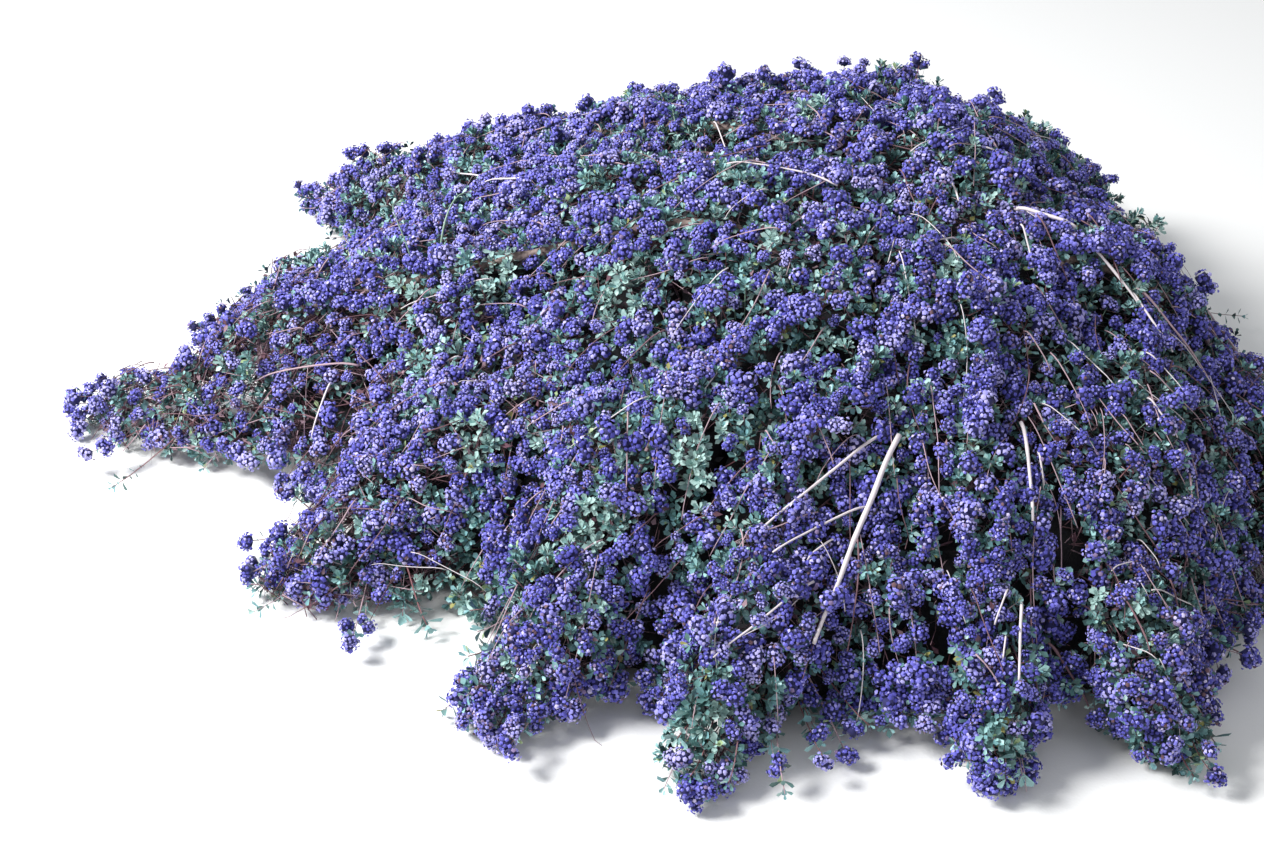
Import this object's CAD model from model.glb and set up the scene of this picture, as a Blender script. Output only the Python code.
"""A california lilac in bloom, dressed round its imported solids: bark on the burl and its boughs, and every
mass as twigs, leaves and heads of blossom that grow on by the source's rule. Metres, in the model's frame."""

import math

import bmesh
import bpy
import numpy as np
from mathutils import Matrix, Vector, noise
from mathutils.bvhtree import BVHTree


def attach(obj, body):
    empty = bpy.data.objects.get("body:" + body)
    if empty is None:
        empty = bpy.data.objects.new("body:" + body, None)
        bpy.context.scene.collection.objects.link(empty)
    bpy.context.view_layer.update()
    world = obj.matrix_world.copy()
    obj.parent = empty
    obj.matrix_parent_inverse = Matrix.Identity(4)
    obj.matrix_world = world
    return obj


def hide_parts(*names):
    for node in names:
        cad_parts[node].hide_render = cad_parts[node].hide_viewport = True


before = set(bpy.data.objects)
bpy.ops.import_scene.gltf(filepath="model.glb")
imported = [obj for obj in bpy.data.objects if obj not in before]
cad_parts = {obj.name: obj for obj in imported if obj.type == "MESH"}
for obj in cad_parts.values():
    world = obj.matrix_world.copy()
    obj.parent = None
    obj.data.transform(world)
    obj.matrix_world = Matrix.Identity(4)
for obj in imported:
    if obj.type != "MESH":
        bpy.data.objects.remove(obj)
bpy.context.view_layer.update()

# The source's mound, masses and boughs, written again.
CROWN_HEIGHT = 0.46
SUMMIT = np.array((-0.07, 0.285))
SHOULDER = 1.78
FLANK = 0.64
VALLEY_SHARE = 0.80
VALLEY_BLUR = 16.0  # degrees
LOBE_START = 3.6
LOBES = (
    # azimuth in degrees, reach in metres, half width in degrees, whether its bough rides on top of the mat
    (139, 1.30, 8, True),
    (158, 1.15, 12, False),
    (171, 1.23, 8, True),
    (192, 0.91, 13, False),
    (215, 0.75, 13, True),
    (237, 0.65, 13, True),
    (268, 0.54, 13, True),
    (291, 0.55, 15, False),
    (352, 0.58, 22, True),
    (18, 0.54, 20, False),
    (52, 0.61, 20, False),
    (68, 0.89, 17, False),
    (91, 0.96, 16, False),
    (122, 1.13, 14, False),
)
LONG_LOBE = 0.85
SHORT_RIM, LONG_RIM, MIDDLE, INNER = 0.78, 0.87, 0.60, 0.36
INNER_MASSES = 5
BLOSSOM_DEPTH = 0.036
CORE_THICKNESS = 0.10
LEAST_CORE = 0.020
SHOULDER_DROP = 0.034
CUSHION_FULLNESS = 0.42
CELL_GAP = 0.004
RIM_INSET = 0.024
WIDEST_CELL = 0.30
CORE_SIDES, CORE_RINGS = 16, 4
GROUND_GAP = 0.010
BURL = (
    (0.0, 0.064), (0.016, 0.052), (0.036, 0.044), (0.080, 0.043), (0.118, 0.041), (0.140, 0.030),
    (0.150, 0.012),
)
BURL_FLUTES, FLUTE_DEPTH, FLUTE_TOP = 5, 0.10, 0.06
BURL_LEAN = np.array((-0.10, 0.16))
TIERS = {"rim": 0.040, "middle": 0.066, "inner": 0.092, "crown": 0.092, "over": 0.118}
TIER_SPREAD = 42.0
BOUGH_TIP = 0.0034
BOUGH_BASE, BOUGH_GROWTH = 0.0048, 0.0030
BOUGH_POINTS, RIDING_POINTS = 7, 10
OVER_DEPTH = 0.019
OVER_RISE = 0.38
OVER_START, OVER_END = 0.13, 0.06
BOW = 0.30
BOUGH_RISE = 0.12
LOWEST_BOUGH = 0.022
STALK_SHARE = 0.55
STAND_OFF = 0.004
ENTRY = {"rim": (1.0, -0.10), "over": (0.45, 1.0), "inner": (0.7, -1.0), "middle": (0.7, -1.0)}
SEED = 41

dice = np.random.default_rng(SEED)
LOBE_AZIMUTH, LOBE_REACH, LOBE_SPREAD = (np.array([lobe[i] for lobe in LOBES], float) for i in range(3))


def plan(azimuth, radius):
    turn = np.radians(azimuth)
    return np.stack((radius * np.cos(turn), radius * np.sin(turn)), axis=-1)


def azimuth_of(points):
    return np.degrees(np.arctan2(points[..., 1], points[..., 0]))


def rim_table():
    """The rim's reach at each degree, without its lobes and with them."""
    away = (np.arange(360)[:, None] - LOBE_AZIMUTH + 180) % 360 - 180
    near = np.exp(-0.5 * (away / VALLEY_BLUR) ** 2)
    valley = VALLEY_SHARE * (near * LOBE_REACH).sum(axis=1) / near.sum(axis=1)
    lobes = LOBE_REACH * np.sqrt(np.clip(1 - (away / LOBE_SPREAD) ** 2, 0, None))
    return valley, np.maximum(valley, lobes.max(axis=1))


VALLEY_RIM, LOBED_RIM = rim_table()


def rim_at(azimuth):
    return np.interp(azimuth, np.arange(360), LOBED_RIM, period=360)


def reach(share, azimuth):
    valley = np.interp(azimuth, np.arange(360), VALLEY_RIM, period=360)
    return valley + (rim_at(azimuth) - valley) * share**LOBE_START


def at_share(share, azimuth):
    return SUMMIT * (1 - share) + plan(azimuth, share * reach(share, azimuth))


def share_of(points):
    """How far from the summit (0) to the rim (1) plan points lie."""
    points = np.asarray(points, float)
    low = np.zeros(points.shape[:-1])
    high = np.full(points.shape[:-1], 1.4)
    for _ in range(20):
        middle = (low + high) / 2
        away = points - SUMMIT * (1 - middle[..., None])
        outside = np.linalg.norm(away, axis=-1) > middle * reach(middle, azimuth_of(away))
        low = np.where(outside, middle, low)
        high = np.where(outside, high, middle)
    return (low + high) / 2


def height(points):
    share = np.clip(share_of(points), 0, 1)
    return CROWN_HEIGHT * (1 - share**SHOULDER) ** FLANK


def outward(points):
    """The level unit vector that points away from the summit's side of the mound."""
    away = np.asarray(points)[..., :2] - SUMMIT * 0.5
    return away / np.linalg.norm(away, axis=-1, keepdims=True)


def mass_list():
    """(name, kind, middle in plan) of every mass."""
    masses = [("crown", "crown", SUMMIT.copy())]
    for i in range(INNER_MASSES):
        masses.append((f"inner_{i + 1}", "inner", at_share(INNER, 360.0 / INNER_MASSES * i)))
    for i, lobe in enumerate(lobe for lobe in LOBES if lobe[1] > LONG_LOBE):
        masses.append((f"middle_{i + 1}", "middle", at_share(MIDDLE, lobe[0])))
    for i, lobe in enumerate(LOBES):
        share = LONG_RIM if lobe[1] > LONG_LOBE else SHORT_RIM
        masses.append((f"rim_{i + 1}", "over" if lobe[3] else "rim", at_share(share, lobe[0])))
    return masses


def cell_walls(middle, others):
    walls = []
    for other in others:
        span = other - middle
        length = np.linalg.norm(span)
        walls.append((span / length, length / 2 - CELL_GAP))
    return walls


def cell_radius(middle, walls, azimuths, inset=RIM_INSET):
    """How far a mass's cell reaches from its middle at each azimuth."""
    ways = plan(azimuths, 1.0)
    radii = np.full(len(azimuths), WIDEST_CELL)
    for normal, distance in walls:
        facing = ways @ normal
        radii = np.where(facing > 1e-6, np.minimum(radii, distance / np.maximum(facing, 1e-6)), radii)
    steps = np.linspace(0.02, 1, 40)
    points = middle + radii[:, None, None] * steps[None, :, None] * ways[:, None, :]
    rim = rim_at(azimuth_of(points)) - inset
    inside = np.cumprod(np.linalg.norm(points, axis=-1) < rim, axis=1).sum(axis=1)
    return radii * steps[np.maximum(inside, 1) - 1]


def core_shape(middle, walls, sides=CORE_SIDES, rings=CORE_RINGS, depth=BLOSSOM_DEPTH, inset=RIM_INSET):
    """A mass's core: a sphere drawn out to its cell's walls under the mound's surface, as a bmesh."""
    mesh = bmesh.new()
    bmesh.ops.create_uvsphere(mesh, u_segments=sides, v_segments=rings, radius=1)
    units = np.array([vertex.co for vertex in mesh.verts])
    flat = np.clip(np.linalg.norm(units[:, :2], axis=1), 0, 1)
    azimuths = azimuth_of(units)
    points = middle + plan(azimuths, cell_radius(middle, walls, azimuths, inset) * flat**CUSHION_FULLNESS)
    top = height(points) - depth
    bottom = np.maximum(top - CORE_THICKNESS, GROUND_GAP)
    if share_of(middle) > (MIDDLE + LONG_RIM) / 2:
        bottom = np.full(len(top), GROUND_GAP)
    top = np.maximum(top, bottom + LEAST_CORE)
    widest = np.maximum(0.5, 1 - SHOULDER_DROP / (top - bottom))
    tall = units[:, 2]
    rise = np.where(tall > 0.01, 1 - (1 - widest) * (1 - tall) ** 1.5, widest * (1 + tall))
    rise = np.where(np.abs(tall) < 0.01, widest, rise)
    for vertex, point, low, high, share in zip(mesh.verts, points, bottom, top, rise):
        vertex.co = (*point, low + (high - low) * share)
    bmesh.ops.recalc_face_normals(mesh, faces=mesh.faces)
    return mesh


def spread_azimuths(azimuths):
    order = np.argsort(azimuths)
    spread = np.array(azimuths, float)[order]
    for _ in range(200):
        gaps = (np.roll(spread, -1) - spread) % 360
        push = np.clip(TIER_SPREAD - gaps, 0, None) / 2 if len(spread) > 1 else np.zeros(1)
        spread = spread - push + np.roll(push, 1)
    result = np.empty(len(spread))
    result[order] = spread
    return result


def bezier(a, b, c, d, count):
    """Points along a curve with these four control points, or along many such curves at once."""
    steps = np.linspace(0, 1, count)[:, None]
    rest = 1 - steps
    a, b, c, d = (np.asarray(point)[..., None, :] for point in (a, b, c, d))
    return rest**3 * a + 3 * rest**2 * steps * b + 3 * rest * steps**2 * c + steps**3 * d


def bough_route(kind, start_azimuth, middle, core):
    """(the bough's points, the end of the stem that meets it) for one mass."""
    heights = sorted(vertex.co.z for vertex in core.verts if np.allclose(vertex.co[:2], middle, atol=1e-5))
    heart = np.array((*middle, (heights[0] + heights[-1]) / 2))
    place = np.array((*(BURL_LEAN * TIERS[kind]), TIERS[kind]))
    way = np.array((*plan(start_azimuth, 1.0), BOUGH_RISE))
    if kind == "crown":
        from_heart = place - heart
    else:
        inward, rise = ENTRY[kind]
        from_heart = np.array((*(-outward(middle) * inward), rise))
    from_heart /= np.linalg.norm(from_heart)
    found = BVHTree.FromBMesh(core).ray_cast(Vector(heart + from_heart), Vector(-from_heart))[0]
    hit = np.array(found if found else heart)
    tip = hit + from_heart * STAND_OFF
    if kind == "over":
        leaves, enters = place[:2] + way[:2] * OVER_START, tip[:2] - outward(tip) * OVER_END
        flat = bezier(place[:2], leaves, enters, tip[:2], RIDING_POINTS)
        climb = np.clip(np.linspace(0, 1, RIDING_POINTS) / OVER_RISE, 0, 1)
        climb = climb * climb * (3 - 2 * climb)
        level = height(flat) - OVER_DEPTH
        level[-1] = tip[2]
        points = np.column_stack((flat, place[2] + (level - place[2]) * climb))
    else:
        bow = BOW * np.linalg.norm(tip - place)
        points = bezier(place, place + way * bow, tip + from_heart * bow, tip, BOUGH_POINTS)
    points[:, 2] = np.maximum(points[:, 2], LOWEST_BOUGH)
    return points, hit + (heart - hit) * STALK_SHARE


# Finishes.


def linear(code):
    """A colour given as sRGB hex, in linear light."""
    parts = [int(code[i : i + 2], 16) / 255 for i in (1, 3, 5)]
    return (*(part / 12.92 if part <= 0.04045 else ((part + 0.055) / 1.055) ** 2.4 for part in parts), 1.0)


def node(tree, kind, inputs=None, **settings):
    """Adds a node with its settings; an input is a value, or (node, output) to link."""
    made = tree.nodes.new(kind)
    for name, value in settings.items():
        setattr(made, name, value)
    for name, value in (inputs or {}).items():
        if isinstance(value, tuple) and isinstance(value[0], bpy.types.Node):
            tree.links.new(value[0].outputs[value[1]], made.inputs[name])
        else:
            made.inputs[name].default_value = value
    return made


def finish(name, code, roughness, **sockets):
    """A material with one plain colour; sockets are the shader's other inputs."""
    made = bpy.data.materials.new(name)
    made.use_nodes = True
    shader = made.node_tree.nodes["Principled BSDF"]
    shader.inputs["Base Color"].default_value = linear(code)
    shader.inputs["Roughness"].default_value = roughness
    shader.inputs["Metallic"].default_value = 0.0
    for socket, value in sockets.items():
        shader.inputs[socket.replace("_", " ")].default_value = value
    made.diffuse_color = linear(code)
    return made


def noise_node(tree, size, detail):
    """Noise in the object's own coordinates, with blotches size metres across."""
    inputs = {"Vector": (node(tree, "ShaderNodeTexCoord"), "Object"), "Scale": 1 / size, "Detail": detail}
    return node(tree, "ShaderNodeTexNoise", inputs)


def grained(material, size, depth, detail=2.0):
    """Gives a material a fine relief whose grain is size metres across and depth metres deep."""
    tree = material.node_tree
    grain = noise_node(tree, size, detail)
    relief = node(tree, "ShaderNodeBump", {"Height": (grain, "Fac"), "Distance": depth, "Strength": 1.0})
    tree.links.new(relief.outputs["Normal"], tree.nodes["Principled BSDF"].inputs["Normal"])
    return material


# Living leaf blades, waxy above: a soft gloss that shows pale where the sky lies on it.
LEAF_TONES = {
    "leaf_old_shade": ("#2f4644", 0.46),
    "leaf_old": ("#426562", 0.42),
    "leaf_grown": ("#628b88", 0.38),
    "leaf_grown_blue": ("#719ea2", 0.38),
    "leaf_young": ("#90bab9", 0.40),
    "leaf_fresh_grey": ("#a2c1bb", 0.48),
    "leaf_fresh_lime": ("#93a97c", 0.46),
    "leaf_yellowed": ("#8d8a4f", 0.60),
}
# Petals: matt and velvety, from indigo buds through violet-blue to washed-out and browned florets.
BLOSSOM_TONES = {
    "petal_heart_shade": ("#24235c", 0.80),
    "petal_bud": ("#34338a", 0.75),
    "petal_deep": ("#4b49a8", 0.72),
    "petal_blue": ("#605dc0", 0.70),
    "petal_violet": ("#7673cf", 0.70),
    "petal_light": ("#9490dc", 0.70),
    "petal_pale": ("#aea8e2", 0.72),
    "petal_washed": ("#c4bbdf", 0.75),
    "petal_faded": ("#7f6c93", 0.85),
    "petal_dry": ("#6b4f56", 0.90),
}
# Twigs: grey-pink bark on the long ones, green and red skin on the year's shoots, dead ones maroon.
TWIG_TONES = {
    "twig_pale": ("#dcd2d4", 0.65),
    "twig_pink": ("#b0959d", 0.65),
    "twig_brown": ("#7a5b62", 0.75),
    "twig_dead": ("#53363d", 0.85),
    "shoot_green": ("#7f9a86", 0.50),
    "shoot_red": ("#85585c", 0.55),
}
# Shed leaves and crumbs of bark caught in the mat, dry and lightless.
LITTER_TONES = {
    "litter_dark": ("#17171b", 0.95),
    "litter_brown": ("#45323a", 0.92),
    "litter_maroon": ("#5c3d48", 0.90),
    "litter_tan": ("#8a7079", 0.90),
}


def palette(tones, size, depth, **sockets):
    """A material for each tone, all with one grain."""
    made = [finish(name, code, roughness, **sockets) for name, (code, roughness) in tones.items()]
    return [grained(material, size, depth) for material in made]


LEAF_FINISHES = palette(LEAF_TONES, 0.0022, 0.0003)
BLOSSOM_FINISHES = palette(BLOSSOM_TONES, 0.0012, 0.0002, Sheen_Weight=0.15)
TWIG_FINISHES = palette(TWIG_TONES, 0.0016, 0.0003)
LITTER_FINISHES = palette(LITTER_TONES, 0.0040, 0.0010)
# Each tone's number among its own piece's materials.
LEAF_NO, BLOSSOM_NO, TWIG_NO, LITTER_NO = (
    {name: i for i, name in enumerate(tones)}
    for tones in (LEAF_TONES, BLOSSOM_TONES, TWIG_TONES, LITTER_TONES)
)


def bark_finish(name, ridge, groove, roughness, grain):
    """Bark: paler ridges and darker grooves that run with the grain, and a fine broken relief."""
    made = finish(name, ridge, roughness)
    tree = made.node_tree
    shade = node(tree, "ShaderNodeValToRGB", {"Fac": (noise_node(tree, grain, 4.0), "Fac")})
    for stop, place, code in zip(shade.color_ramp.elements, (0.32, 0.54), (groove, ridge)):
        stop.position, stop.color = place, linear(code)
    tree.links.new(shade.outputs["Color"], tree.nodes["Principled BSDF"].inputs["Base Color"])
    return grained(made, grain / 4, grain / 12, 3.0)


# Smooth young ceanothus bark, grey-pink and weathered almost white on top, in grain about 6 mm long.
BOUGH_BARK = bark_finish("bough_bark", "#86756f", "#4c3b37", 0.72, 0.006)
# Old fissured bark: the burl is dark, with scales about 12 mm across.
BURL_BARK = bark_finish("burl_bark", "#6b5648", "#2a1f1a", 0.90, 0.012)


# Gathering many small things into one mesh.


def unit(vectors):
    return vectors / np.maximum(np.linalg.norm(vectors, axis=-1, keepdims=True), 1e-12)


class Pile:
    """Many small things of a few faces each, gathered into one mesh."""

    def __init__(self):
        self.points, self.faces, self.tones = [], [], []
        self.count = 0

    def add(self, points, tones, faces):
        """Adds points (things, corners, 3), with a tone for each thing or face, and one thing's triangles."""
        things, corners = points.shape[:2]
        rows = faces[None] + (np.arange(things) * corners)[:, None, None] + self.count
        if np.ndim(tones) < 2:
            tones = np.broadcast_to(np.reshape(tones, (-1, 1)), (things, len(faces)))
        self.points.append(points.reshape(-1, 3))
        self.faces.append(rows.reshape(-1, 3))
        self.tones.append(tones.reshape(-1))
        self.count += things * corners

    def piece(self, name, finishes, nodes, slot):
        """Makes a piece of all that was added."""
        points, faces, tones = (np.concatenate(rows) for rows in (self.points, self.faces, self.tones))
        mesh = bpy.data.meshes.new(name)
        mesh.vertices.add(len(points))
        mesh.vertices.foreach_set("co", points.astype(np.float32).ravel())
        mesh.loops.add(faces.size)
        mesh.loops.foreach_set("vertex_index", faces.astype(np.int32).ravel())
        mesh.polygons.add(len(faces))
        mesh.polygons.foreach_set("loop_start", np.arange(0, faces.size, 3, dtype=np.int32))
        mesh.polygons.foreach_set("material_index", tones.astype(np.int32))
        mesh.update(calc_edges=True)
        mesh.validate()
        dress(name, mesh, finishes, nodes)


def placed(name, data):
    """A new object in the scene."""
    made = bpy.data.objects.new(name, data)
    bpy.context.scene.collection.objects.link(made)
    return made


def dress(name, mesh, finishes, nodes):
    """Puts a mesh into the scene as a smooth-shaded piece that stands for CAD nodes."""
    mesh.polygons.foreach_set("use_smooth", np.full(len(mesh.polygons), True))
    print(name, len(mesh.polygons), "triangles")
    for material in finishes:
        mesh.materials.append(material)
    piece = placed(name, mesh)
    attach(piece, "root")
    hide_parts(*nodes)


def by_side(add, piles, sides, /, *rows, **settings):
    """Adds each thing to the pile of its own side; every array of rows has one row for each thing."""
    for side, pile in enumerate(piles):
        mine = sides == side
        if mine.any():
            add(pile, *(row[mine] for row in rows), **settings)


def tube_faces(rings, sides):
    """The triangles of a closed tube, its ends capped."""
    faces = []
    for ring in range(rings - 1):
        for side in range(sides):
            a, b = ring * sides + side, ring * sides + (side + 1) % sides
            faces += [(a, b, b + sides), (a, b + sides, a + sides)]
    last = (rings - 1) * sides
    for side in range(1, sides - 1):
        faces += [(0, side + 1, side), (last, last + side, last + side + 1)]
    return np.array(faces)


def tubes(pile, routes, radii, tones, sides=3):
    """Adds a tapering tube along each route: routes is (tubes, rings, 3), radii (tubes, rings)."""
    along = unit(np.gradient(routes, axis=1))
    whole = unit(routes[:, -1] - routes[:, 0])
    helper = np.where(np.abs(whole[:, 2:]) > 0.9, np.array((1.0, 0.0, 0.0)), np.array((0.0, 0.0, 1.0)))
    side = unit(np.cross(along, helper[:, None, :]))
    up = np.cross(side, along)
    turn = np.arange(sides) * 2 * math.pi / sides
    ring = side[:, :, None, :] * np.cos(turn)[:, None] + up[:, :, None, :] * np.sin(turn)[:, None]
    points = routes[:, :, None, :] + ring * radii[:, :, None, None]
    pile.add(points.reshape(len(routes), -1, 3), tones, tube_faces(routes.shape[1], sides))


SPIKE_FACES = np.array(((0, 1, 3), (1, 2, 3), (2, 0, 3), (0, 2, 1)))


def spikes(pile, starts, ends, radii, tones):
    """Adds a twig that runs out to a point from each start to its end."""
    turns = dice.uniform(0, 2 * math.pi, len(starts))
    first, second = basis(unit(ends - starts), turns)
    corners = [
        starts + (first * math.cos(turn) + second * math.sin(turn)) * radii[:, None]
        for turn in (0, 2 * math.pi / 3, 4 * math.pi / 3)
    ]
    pile.add(np.stack((*corners, ends), axis=1), tones, SPIKE_FACES)


# A spatulate blade folded along its midrib, in shares of its length: base, left shoulder and cheek, tip,
# right cheek and shoulder, midrib.
BLADE = np.array((
    (0, 0, 0), (0.42, 0.30, 0.03), (0.80, 0.46, 0.06), (1.0, 0.0, 0.0), (0.80, -0.46, 0.06),
    (0.42, -0.30, 0.03), (0.58, 0, -0.06),
))
BLADE_FACES = np.array(((6, 0, 5), (6, 5, 4), (6, 4, 3), (6, 3, 2), (6, 2, 1), (6, 1, 0)))
# The same blade with fewer faces, for leaves that others cover.
COVERED_BLADE = np.array(((0, 0, 0), (0.70, 0.48, 0.05), (1.0, 0.0, 0.0), (0.70, -0.48, 0.05)))
COVERED_FACES = np.array(((0, 2, 1), (0, 3, 2)))
BLADE_WIDTH = 0.58


def blades(pile, roots, ways, faces_up, lengths, curls, tones, covered=False):
    """Adds a leaf at each root, along its way, with its face turned towards faces_up."""
    shape, faces = (COVERED_BLADE, COVERED_FACES) if covered else (BLADE, BLADE_FACES)
    length = unit(ways)
    side = unit(np.cross(faces_up, length))
    face = np.cross(length, side)
    x, y, z = (shape[None, :, i] for i in range(3))
    z = z - curls[:, None] * x**2
    size = lengths[:, None, None]
    points = roots[:, None, :] + size * (
        x[..., None] * length[:, None, :]
        + (y * BLADE_WIDTH)[..., None] * side[:, None, :]
        + z[..., None] * face[:, None, :]
    )
    pile.add(points, tones, faces)


# The mound's surface as a fine grid, closer towards the rim, for dealing shoots out evenly over it.
GRID_SHARES = 1 - (1 - np.linspace(0, 1, 240)) ** 1.8
GRID_AZIMUTHS = np.linspace(0, 360, 721)


def wave(points, length, shift=0.0):
    """Smooth noise, roughly -0.5 to 0.5, with waves about length metres long."""
    return np.array([noise.noise(point) for point in (points / length + shift).tolist()])


def ramp(values, start, width):
    """Rises from 0 at start to 1 a width further on; a negative width runs the other way."""
    return np.clip((values - start) / width, 0, 1)


def wobble(points, length, shifts):
    """A smooth random vector for each point, in waves about length metres long."""
    drift = [wave(points.reshape(-1, 3), length, shift) for shift in shifts]
    return np.stack(drift, axis=-1).reshape(points.shape)


def surface_grid():
    share, azimuth = np.meshgrid(GRID_SHARES, GRID_AZIMUTHS, indexing="ij")
    flat = SUMMIT * (1 - share[..., None]) + plan(azimuth, share * reach(share, azimuth))
    level = CROWN_HEIGHT * (1 - share**SHOULDER) ** FLANK
    return np.concatenate((flat, level[..., None]), axis=-1)


GRID = surface_grid()
OUT_EDGE, ROUND_EDGE = GRID[1:, :-1] - GRID[:-1, :-1], GRID[:-1, 1:] - GRID[:-1, :-1]
GRID_CROSS = np.cross(OUT_EDGE, ROUND_EDGE)
GRID_AREA = np.linalg.norm(GRID_CROSS, axis=-1)
GRID_NORMAL = unit(GRID_CROSS)


def dealt(count):
    """(points, outward normals) dealt at random over the mound's surface, by its area."""
    cells = dice.choice(GRID_AREA.size, count, p=(GRID_AREA / GRID_AREA.sum()).ravel())
    row, column = np.unravel_index(cells, GRID_AREA.shape)
    a, b = dice.random(count)[:, None], dice.random(count)[:, None]
    near = GRID[row, column] * (1 - a) + GRID[row + 1, column] * a
    far = GRID[row, column + 1] * (1 - a) + GRID[row + 1, column + 1] * a
    return near * (1 - b) + far * b, GRID_NORMAL[row, column]


def thinned(points, spacings):
    """The rows of points that keep their spacing from those kept before them."""
    widest = float(spacings.max())
    cells = np.floor(points / widest).astype(int).tolist()
    kept, grid = [], {}
    around = (-1, 0, 1)
    for row, ((x, y, z), point, spacing) in enumerate(zip(cells, points.tolist(), spacings.tolist())):
        cubes = ((x + i, y + j, z + k) for i in around for j in around for k in around)
        if all(math.dist(point, other) >= spacing for cube in cubes for other in grid.get(cube, ())):
            grid.setdefault((x, y, z), []).append(point)
            kept.append(row)
    return np.array(kept)


def lumps(points):
    """How far the mat swells above the mound's even surface, or sinks under it."""
    return 0.044 * wave(points, 0.17) + 0.028 * wave(points, 0.065, 7.0)


def hollow(flat):
    """How far the mound's surface at plan points lies below that round about."""
    ring = [height(flat + plan(azimuth, 0.045)) for azimuth in range(0, 360, 45)]
    return np.clip(np.mean(ring, axis=0) - height(flat), 0, 0.06)


def on_mat(flat, depth):
    """Points under or over the lumpy mat at plan points; depth is downwards."""
    base = np.column_stack((flat, height(flat)))
    base[:, 2] += lumps(base) + hollow(flat) - depth
    return base


# The camera looks at the mat's long side from the front, a little from above.
CAMERA_PITCH = 35  # degrees down from level


def add_camera():
    data = bpy.data.cameras.new("camera")
    data.lens, data.sensor_width = 50, 36
    camera = placed("camera", data)
    camera.location = (-0.42, -1.88, 1.45)
    camera.rotation_euler = (math.radians(90 - CAMERA_PITCH), 0, 0)
    bpy.context.scene.camera = camera


add_camera()

MASSES = mass_list()
MIDDLES = np.array([mass[2] for mass in MASSES])
WALLS = [cell_walls(middle, np.delete(MIDDLES, i, axis=0)) for i, middle in enumerate(MIDDLES)]
CORES = [core_shape(middle, walls) for middle, walls in zip(MIDDLES, WALLS)]

# Each mass belongs to one of five sides of the shrub, and each side's blossom, leaves, twigs and thatch are
# pieces of their own.
SIDES = {
    "right": ("rim_9", "rim_10", "rim_11", "rim_12", "inner_1", "middle_5"),
    "back": ("rim_13", "rim_14", "inner_2", "inner_5", "middle_6", "middle_7", "crown"),
    "left": ("rim_1", "rim_2", "inner_3", "middle_1", "middle_2", "middle_3"),
    "near_left": ("rim_3", "rim_4", "rim_5", "inner_4", "middle_4"),
    "front": ("rim_6", "rim_7", "rim_8"),
}
SIDE_OF = np.array([[name in members for members in SIDES.values()].index(True) for name, _, _ in MASSES])
twig_piles, leaf_piles, blossom_piles, litter_piles = ([Pile() for _ in SIDES] for _ in range(4))


def between(points, others):
    """The distance from each point to each of the others."""
    return np.linalg.norm(points[:, None] - others[None], axis=-1)


def mass_of(flat):
    """The mass in whose cell each plan point lies."""
    return between(flat, MIDDLES).argmin(axis=1)


# Boughs and burl.


def smooth_route(points, count):
    """More points on a smooth curve through these."""
    ends = np.vstack((2 * points[0] - points[1], points, 2 * points[-1] - points[-2]))
    steps = np.linspace(0, len(points) - 1, count)
    first = np.minimum(steps.astype(int), len(points) - 2)
    t = (steps - first)[:, None]
    a, b, c, d = (ends[first + i] for i in range(4))
    return 0.5 * (2 * b + (c - a) * t + (2 * a - 5 * b + 4 * c - d) * t**2 + (3 * b - a - 3 * c + d) * t**3)


def limb_shape(points, radii):
    """A round limb along points, as a bmesh."""
    curve = bpy.data.curves.new("limb", "CURVE")
    curve.dimensions = "3D"
    curve.bevel_depth = 1
    curve.bevel_resolution = 3
    curve.use_fill_caps = True
    spline = curve.splines.new("POLY")
    spline.points.add(len(points) - 1)
    for place, point, radius in zip(spline.points, points, radii):
        place.co = (*point, 1)
        place.radius = radius
    carrier = bpy.data.objects.new("limb", curve)
    mesh = bpy.data.meshes.new_from_object(carrier)
    bpy.data.objects.remove(carrier)
    bpy.data.curves.remove(curve)
    shape = bmesh.new()
    shape.from_mesh(mesh)
    bpy.data.meshes.remove(mesh)
    bmesh.ops.remove_doubles(shape, verts=shape.verts, dist=1e-6)
    bmesh.ops.recalc_face_normals(shape, faces=shape.faces)
    return shape


def bark_relief(shape, grain, depth, flat_foot=False):
    """Pushes a limb's skin in and out: long ridges, and small scales on them."""
    shape.normal_update()
    moves = []
    for vertex in shape.verts:
        place = vertex.co / grain
        ridge = noise.noise(Vector((place.x * 1.6, place.y * 1.6, place.z * 0.8)))
        scale = noise.noise(place * 2.7)
        moves.append(vertex.normal * depth * (ridge + 0.5 * scale))
    for vertex, move in zip(shape.verts, moves):
        if flat_foot and vertex.co.z < 1e-6:
            move.z = 0
        vertex.co += move


def limb_piece(name, shapes, material, nodes):
    """Joins some shapes into one piece."""
    mesh = bpy.data.meshes.new(name)
    whole = bmesh.new()
    for shape in shapes:
        part = bpy.data.meshes.new("part")
        shape.to_mesh(part)
        whole.from_mesh(part)
        shape.free()
        bpy.data.meshes.remove(part)
    bmesh.ops.triangulate(whole, faces=whole.faces)
    whole.to_mesh(mesh)
    whole.free()
    dress(name, mesh, [material], nodes)


def length_of(points):
    return float(np.linalg.norm(np.diff(points, axis=0), axis=1).sum())


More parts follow.
